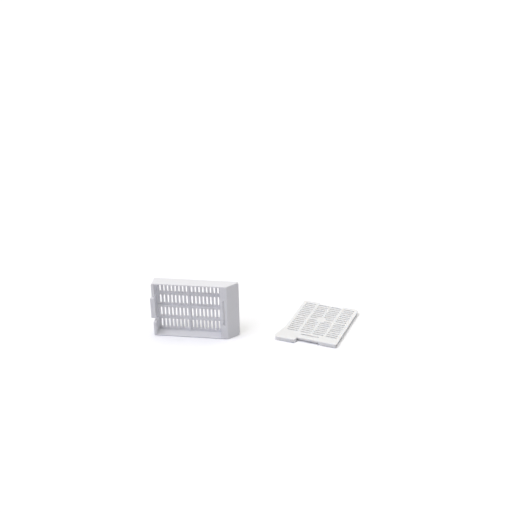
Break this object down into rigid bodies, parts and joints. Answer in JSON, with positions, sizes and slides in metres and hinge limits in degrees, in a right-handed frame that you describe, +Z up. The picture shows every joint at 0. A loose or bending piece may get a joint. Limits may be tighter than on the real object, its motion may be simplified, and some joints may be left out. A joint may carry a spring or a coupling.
{
  "type": "tissue cassette",
  "caption": "Slotted plastic cassette that holds a tissue sample in processing, with a slanted writing face, a springy latch finger and a separate slotted lid with a thumb tab.",
  "frame": {"origin": "middle of the long side that the base stands on", "axes": "+X along the base's rim from the latch end towards the writing end and on to the lid, +Y from the open side towards the floor's underside, +Z up"},
  "size_m": [0.0977, 0.0403, 0.0285],
  "materials": {
    "base_acetal": "matte",
    "lid_acetal": "matte"
  },
  "bodies": {
    "root": {"cassette_base": "base_acetal", "cassette_lid": "lid_acetal"}
  },
  "joints": []
}
